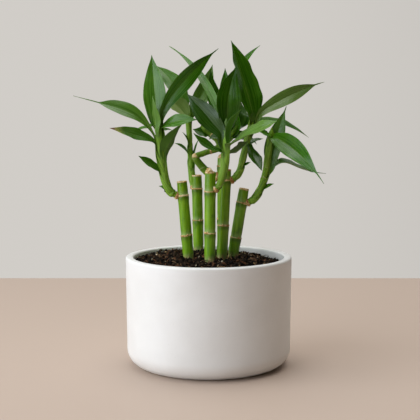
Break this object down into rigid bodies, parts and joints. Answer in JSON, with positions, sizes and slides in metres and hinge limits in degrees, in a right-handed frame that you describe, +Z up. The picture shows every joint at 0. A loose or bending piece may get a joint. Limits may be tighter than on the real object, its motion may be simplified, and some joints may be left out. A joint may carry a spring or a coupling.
{
  "type": "potted lucky bamboo",
  "caption": "Lucky bamboo: cut canes with leafy side shoots, standing in potting soil in a round, thick-walled white pot.",
  "frame": {"origin": "on the pot's axis, at the flat underside that it stands on", "axes": "+Z up along the pot's axis, +X to the plant's right and +Y to its back, as seen from its front"},
  "size_m": [0.2159, 0.1435, 0.2733],
  "materials": {
    "ceramic": "smooth white ceramic with a satin glaze",
    "potting_soil": "loose dark brown potting soil with bark chips and pale grit",
    "bamboo_green": "living green canes and leaves with a soft sheen"
  },
  "bodies": {
    "root": {"pot": "ceramic", "soil": "potting_soil", "stalk_left": "bamboo_green", "stalk_back_left": "bamboo_green", "stalk_front": "bamboo_green", "stalk_middle": "bamboo_green", "stalk_right": "bamboo_green", "stalk_back": "bamboo_green"}
  },
  "joints": []
}
